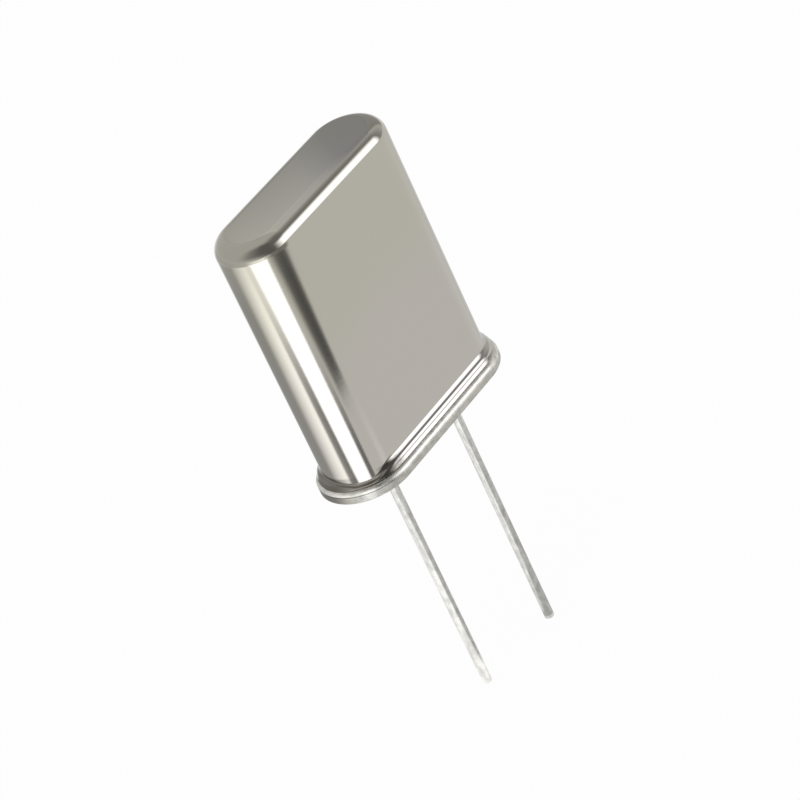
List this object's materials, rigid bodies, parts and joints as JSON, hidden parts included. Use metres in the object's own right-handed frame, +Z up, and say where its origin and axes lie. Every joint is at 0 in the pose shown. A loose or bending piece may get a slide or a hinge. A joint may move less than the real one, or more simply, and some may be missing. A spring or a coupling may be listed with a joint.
{
  "type": "crystal oscillator",
  "caption": "Quartz crystal in a flat metal can with rounded ends and a welded flange, on straight wire leads for through-hole mounting.",
  "frame": {"origin": "centre of the seating plane, the underside of the base's flange, midway between the leads", "axes": "+Z up out of the can's top, so the leads point along -Z; +X along the row of leads; the broad faces look along +Y and -Y"},
  "size_m": [0.011, 0.0044, 0.026],
  "materials": {
    "can_metal": "satin nickel plate on drawn sheet",
    "base_metal": "bright nickel plate",
    "seal_glass": "fused dark green glass",
    "lead_wire": "tinned wire",
    "clip_metal": "bare nickel strip",
    "quartz": "lapped quartz",
    "electrode_film": "evaporated silver film",
    "cement": "silver-filled epoxy"
  },
  "bodies": {
    "root": {"can": "can_metal", "base": "base_metal", "seal_left": "seal_glass", "seal_right": "seal_glass", "lead_left": "lead_wire", "lead_right": "lead_wire", "clip_left": "clip_metal", "clip_right": "clip_metal", "quartz_blank": "quartz", "electrode_front": "electrode_film", "electrode_back": "electrode_film", "cement_left": "cement", "cement_right": "cement"}
  },
  "joints": []
}
